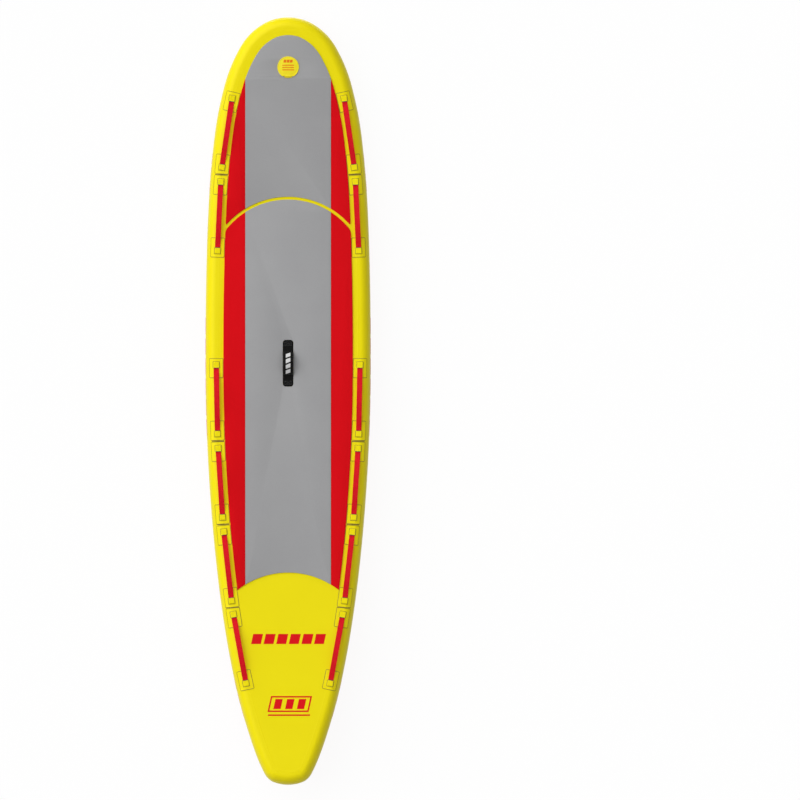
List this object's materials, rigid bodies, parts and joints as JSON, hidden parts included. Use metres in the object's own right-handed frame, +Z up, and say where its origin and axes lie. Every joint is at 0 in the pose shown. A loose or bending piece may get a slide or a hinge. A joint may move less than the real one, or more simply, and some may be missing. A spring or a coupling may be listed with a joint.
{
  "type": "inflatable rescue board",
  "caption": "Long inflatable rescue board with foam deck pads, webbing grab straps along both rails, a carry handle, tow ring, valve and a removable fin.",
  "frame": {"origin": "under the middle of the board, at the height of the fin's tip", "axes": "+Y along the board towards the nose, +X to the right of someone standing on the deck and facing the nose, +Z up out of the deck"},
  "size_m": [0.787, 3.658, 0.2998],
  "materials": {
    "woven_core": "matte",
    "yellow_pvc": "satin",
    "red_pvc": "satin",
    "grey_foam": "matte",
    "red_foam": "matte",
    "red_webbing": "matte",
    "black_webbing": "matte",
    "black_neoprene": "matte",
    "black_pvc": "satin",
    "yellow_plastic": "satin",
    "white_plastic": "satin",
    "stainless_steel": "polished",
    "charcoal_plastic": "satin",
    "black_plastic": "satin"
  },
  "bodies": {
    "board": {"drop_stitch_core": "woven_core", "deck_skin": "yellow_pvc", "hull_skin": "red_pvc", "rail_band": "yellow_pvc", "nose_panel": "red_pvc", "front_pad_centre": "grey_foam", "front_pad_left": "red_foam", "front_pad_right": "red_foam", "main_pad_centre": "grey_foam", "main_pad_left": "red_foam", "main_pad_right": "red_foam", "grab_strap_webbing_left_1": "red_webbing", "grab_strap_anchor_front_left_1": "yellow_pvc", "grab_strap_anchor_rear_left_1": "yellow_pvc", "grab_strap_webbing_right_1": "red_webbing", "grab_strap_anchor_front_right_1": "yellow_pvc", "grab_strap_anchor_rear_right_1": "yellow_pvc", "grab_strap_webbing_left_2": "red_webbing", "grab_strap_anchor_front_left_2": "yellow_pvc", "grab_strap_anchor_rear_left_2": "yellow_pvc", "grab_strap_webbing_right_2": "red_webbing", "grab_strap_anchor_front_right_2": "yellow_pvc", "grab_strap_anchor_rear_right_2": "yellow_pvc", "grab_strap_webbing_left_3": "red_webbing", "grab_strap_anchor_front_left_3": "yellow_pvc", "grab_strap_anchor_rear_left_3": "yellow_pvc", "grab_strap_webbing_right_3": "red_webbing", "grab_strap_anchor_front_right_3": "yellow_pvc", "grab_strap_anchor_rear_right_3": "yellow_pvc", "grab_strap_webbing_left_4": "red_webbing", "grab_strap_anchor_front_left_4": "yellow_pvc", "grab_strap_anchor_rear_left_4": "yellow_pvc", "grab_strap_webbing_right_4": "red_webbing", "grab_strap_anchor_front_right_4": "yellow_pvc", "grab_strap_anchor_rear_right_4": "yellow_pvc", "grab_strap_webbing_left_5": "red_webbing", "grab_strap_anchor_front_left_5": "yellow_pvc", "grab_strap_anchor_rear_left_5": "yellow_pvc", "grab_strap_webbing_right_5": "red_webbing", "grab_strap_anchor_front_right_5": "yellow_pvc", "grab_strap_anchor_rear_right_5": "yellow_pvc", "grab_strap_webbing_left_6": "red_webbing", "grab_strap_anchor_front_left_6": "yellow_pvc", "grab_strap_anchor_rear_left_6": "yellow_pvc", "grab_strap_webbing_right_6": "red_webbing", "grab_strap_anchor_front_right_6": "yellow_pvc", "grab_strap_anchor_rear_right_6": "yellow_pvc", "handle_base": "black_pvc", "handle_webbing": "black_webbing", "handle_grip": "black_neoprene", "valve_housing": "yellow_plastic", "valve_nut": "white_plastic", "valve_spring": "stainless_steel", "tow_ring_patch": "red_pvc", "fin_box": "charcoal_plastic"},
    "valve_lid": {"valve_lid": "yellow_plastic"},
    "valve_plunger": {"valve_plunger": "white_plastic"},
    "tow_ring": {"tow_ring": "stainless_steel"},
    "fin": {"fin": "black_plastic"},
    "fin_lock_lever": {"fin_lock_lever": "black_plastic"}
  },
  "joints": [
    {"name": "valve_lid_hinge", "type": "hinge", "parent": "board", "child": "valve_lid", "pos_m": [0, 1.54766, 0.2714], "axis": [1, 0, 0], "range_deg": [0, 110]},
    {"name": "valve_plunger_press", "type": "slide", "parent": "board", "child": "valve_plunger", "axis": [0, 0.0589, -0.9983], "range_m": [0, 0.005], "stiffness_N_per_m": 400, "springref_m": -0.002, "deforming": ["valve_spring"]},
    {"name": "tow_ring_swing", "type": "hinge", "parent": "board", "child": "tow_ring", "pos_m": [0, 1.64106, 0.13208], "axis": [-1, 0, 0], "range_deg": [0, 170]},
    {"name": "fin_slide", "type": "slide", "parent": "board", "child": "fin", "axis": [0, -1, 0], "range_m": [0, 0.19]},
    {"name": "fin_lock_lever_hinge", "type": "hinge", "parent": "fin", "child": "fin_lock_lever", "pos_m": [0, -1.509, 0.1022], "axis": [1, 0, 0], "range_deg": [0, 80]}
  ]
}
